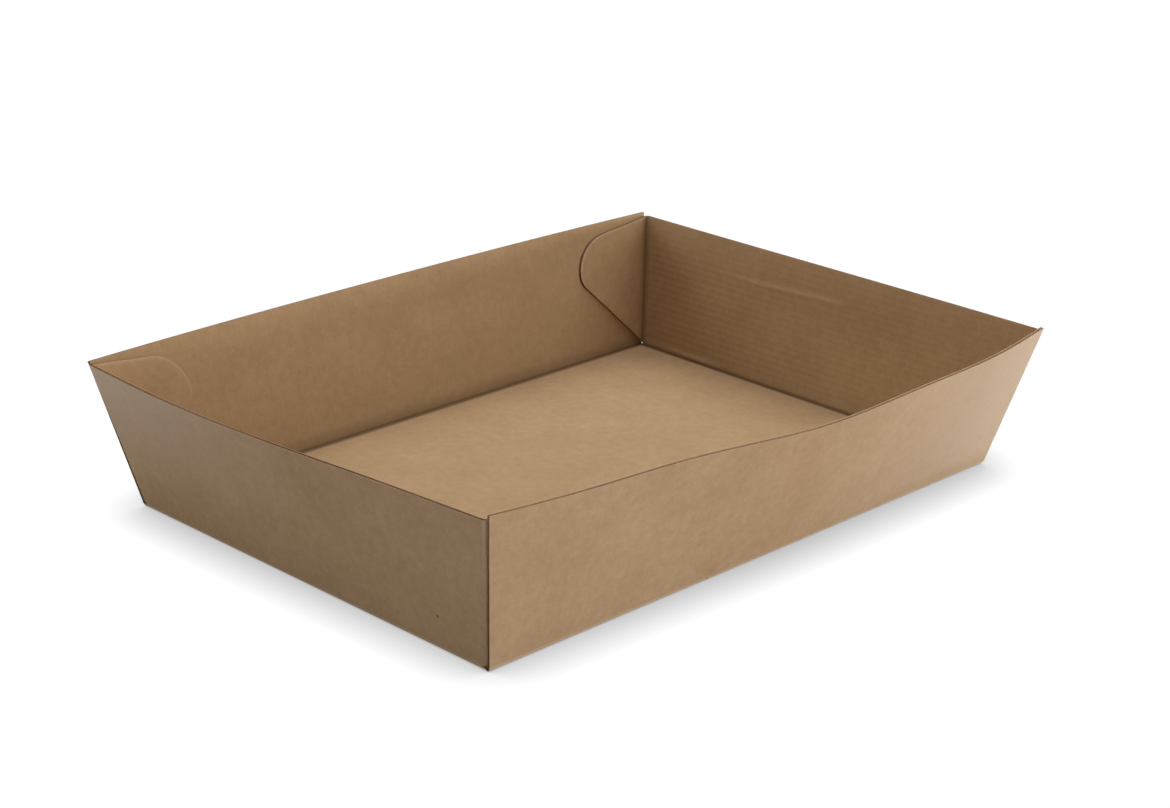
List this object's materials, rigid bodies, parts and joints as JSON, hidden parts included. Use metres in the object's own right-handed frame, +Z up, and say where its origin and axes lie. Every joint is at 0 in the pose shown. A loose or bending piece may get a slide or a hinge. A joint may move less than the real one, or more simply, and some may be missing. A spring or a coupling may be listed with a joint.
{
  "type": "cardboard tray box",
  "caption": "Open rectangular tray folded from brown corrugated board, with splayed, slightly bowed walls and rounded corner tabs glued inside the long walls.",
  "frame": {"origin": "Centre of the bounding box, on the ground under the flat floor.", "axes": "X runs along the tray's length, Y across it, Z up out of the open top."},
  "size_m": [0.3666, 0.2784, 0.0723],
  "materials": {
    "board": "matte"
  },
  "bodies": {
    "root": {"tray": "board"}
  },
  "joints": []
}
